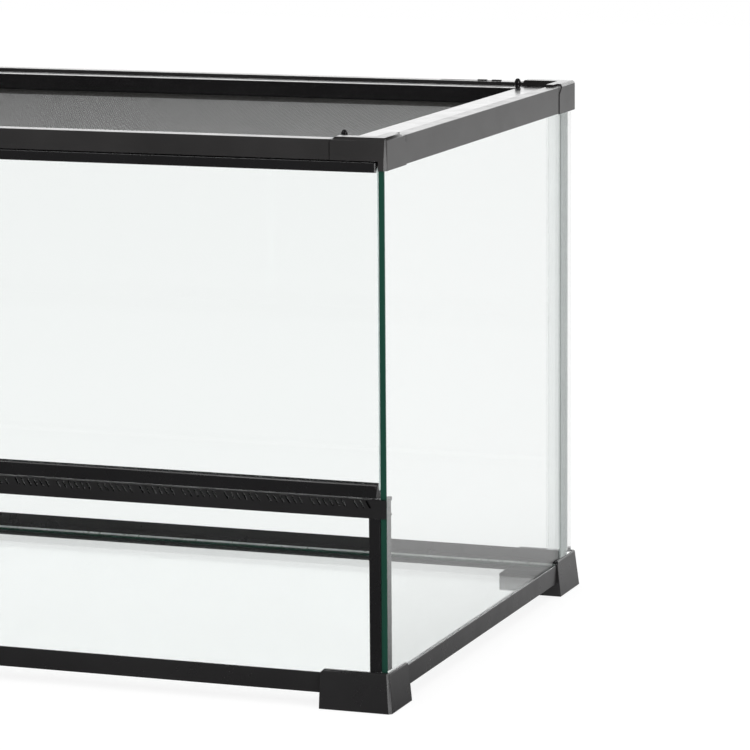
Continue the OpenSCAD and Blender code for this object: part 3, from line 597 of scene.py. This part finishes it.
def add_stage():
    """A pale floor that keeps a soft shadow and mirrors as a light table does."""
    bm = bmesh.new()
    bmesh.ops.create_grid(bm, x_segments=1, y_segments=1, size=FLOOR_HALF)
    mesh = bpy.data.meshes.new("floor")
    bm.to_mesh(mesh)
    bm.free()
    floor = bpy.data.objects.new("floor", mesh)
    floor.location.z = -FLOOR_GAP
    bpy.context.scene.collection.objects.link(floor)
    material, tree, output = blank_material("floor")
    matt, mirrored = path_kinds(tree)
    place = tree.nodes.new("ShaderNodeTexCoord").outputs["Object"]
    to_rear_right = add_node(tree, "ShaderNodeVectorMath", Vector=place)
    to_rear_right.operation = "DOT_PRODUCT"
    to_rear_right.inputs[1].default_value = (math.sqrt(0.5), math.sqrt(0.5), 0)
    level = smooth_range(tree, to_rear_right.outputs["Value"], *FLOOR_RISE, *FLOOR_MIRRORED)
    table = add_node(tree, "ShaderNodeEmission", Color=(1, 1, 1, 1), Strength=level)
    seen = add_node(tree, "ShaderNodeEmission", Color=(1, 1, 1, 1), Strength=FLOOR_SEEN)
    paper = add_node(tree, "ShaderNodeBsdfDiffuse", Color=(*[FLOOR_PAPER] * 3, 1))
    direct = tree.nodes.new("ShaderNodeAddShader")
    tree.links.new(seen.outputs[0], direct.inputs[0])
    tree.links.new(paper.outputs[0], direct.inputs[1])
    plain = add_node(tree, "ShaderNodeBsdfDiffuse", Color=(*[FLOOR_PLAIN] * 3, 1))
    shader = direct
    for factor, other in ((mirrored, table), (matt, plain)):
        mix = tree.nodes.new("ShaderNodeMixShader")
        tree.links.new(factor, mix.inputs[0])
        tree.links.new(shader.outputs[0], mix.inputs[1])
        tree.links.new(other.outputs[0], mix.inputs[2])
        shader = mix
    tree.links.new(shader.outputs[0], output.inputs["Surface"])
    mesh.materials.append(material)


AIR_SEEN = 1.0              # white, for the eye and through glass
AIR_MATT = 0.75             # ambient light on matt surfaces
AIR_ZENITH = 0.1            # straight above, in gloss
AIR_SIDE = (0.15, 0.6)      # in gloss: from the left or front, to the right
AIR_BACK = (0.4, 2.1)       # in gloss: behind, at the horizon and just above it


def add_world():
    """White to the eye and through glass; gloss mirrors a dim front and a bright back."""
    world = bpy.data.worlds.new("studio")
    bpy.context.scene.world = world
    world.use_nodes = True
    world.cycles.sampling_method = "NONE"
    tree = world.node_tree
    tree.nodes.clear()
    output = tree.nodes.new("ShaderNodeOutputWorld")
    matt, mirrored = path_kinds(tree)
    direction = tree.nodes.new("ShaderNodeTexCoord").outputs["Generated"]
    parts = add_node(tree, "ShaderNodeSeparateXYZ", Vector=direction)
    side = smooth_range(tree, parts.outputs["X"], 0.3, 1.0, *AIR_SIDE)
    is_back = smooth_range(tree, parts.outputs["Y"], -0.1, 0.75, 0.0, 1.0)
    back = smooth_range(tree, parts.outputs["Z"], 0.0, 0.13, *AIR_BACK)
    is_high = smooth_range(tree, parts.outputs["Z"], 0.3, 0.75, 0.0, 1.0)
    gloss = choose(tree, is_high, choose(tree, is_back, side, back), AIR_ZENITH)
    level = choose(tree, matt, choose(tree, mirrored, AIR_SEEN, gloss), AIR_MATT)
    background = add_node(tree, "ShaderNodeBackground", Color=(1, 1, 1, 1), Strength=level)
    tree.links.new(background.outputs[0], output.inputs["Surface"])


def add_lamp(name, at, target, size, power, shows_in_gloss):
    data = bpy.data.lights.new(name, "AREA")
    data.shape = "RECTANGLE"
    data.size, data.size_y = size
    data.energy = power
    lamp = bpy.data.objects.new(name, data)
    turn = (Vector(target) - Vector(at)).to_track_quat("-Z", "Y").to_matrix().to_4x4()
    lamp.matrix_world = Matrix.Translation(at) @ turn
    lamp.visible_camera = False
    lamp.visible_transmission = False
    lamp.visible_glossy = shows_in_gloss
    bpy.context.scene.collection.objects.link(lamp)


def add_light():
    add_world()
    add_lamp("overhead", (0.3, -0.2, 2.4), (0, 0, 0.2), (2.4, 2.0), 14, False)
    add_lamp("front_top", (-0.82, -2.4, 1.9), (0.2, -0.1, 0.3), (1.0, 0.6), 15, True)
    add_lamp("front_right", (1.5, -0.75, 0.3), (0.45, -0.23, 0.25), (0.5, 0.6), 4.7, True)


# ---------------------------------------------------------------- everything

scene = bpy.context.scene
scene.view_settings.view_transform = "Standard"
scene.cycles.max_bounces = 32
scene.cycles.glossy_bounces = 12
scene.cycles.transmission_bounces = 28
scene.cycles.transparent_max_bounces = 32

add_camera()
add_panes()
add_plastic()
# The upper level takes a darker copy of the wire than the lower level: painted shade between the two
# levels.
weave("woven_screen", "screen_mesh", 2, SCREEN_PITCH, SCREEN_WIRE, "screen", "screen_top")
# The vent wires are near black: painted shade behind the slots.
weave("woven_vent", "vent_mesh", 1, VENT_PITCH, VENT_WIRE, "dark_screen", "dark_screen")
add_bead()
add_edge_films()
for steel_part in ("latch_clip", "hinge_pins_right", "hinge_pins_left"):
    set_material(steel_part, "pin_steel")
add_stage()
add_light()
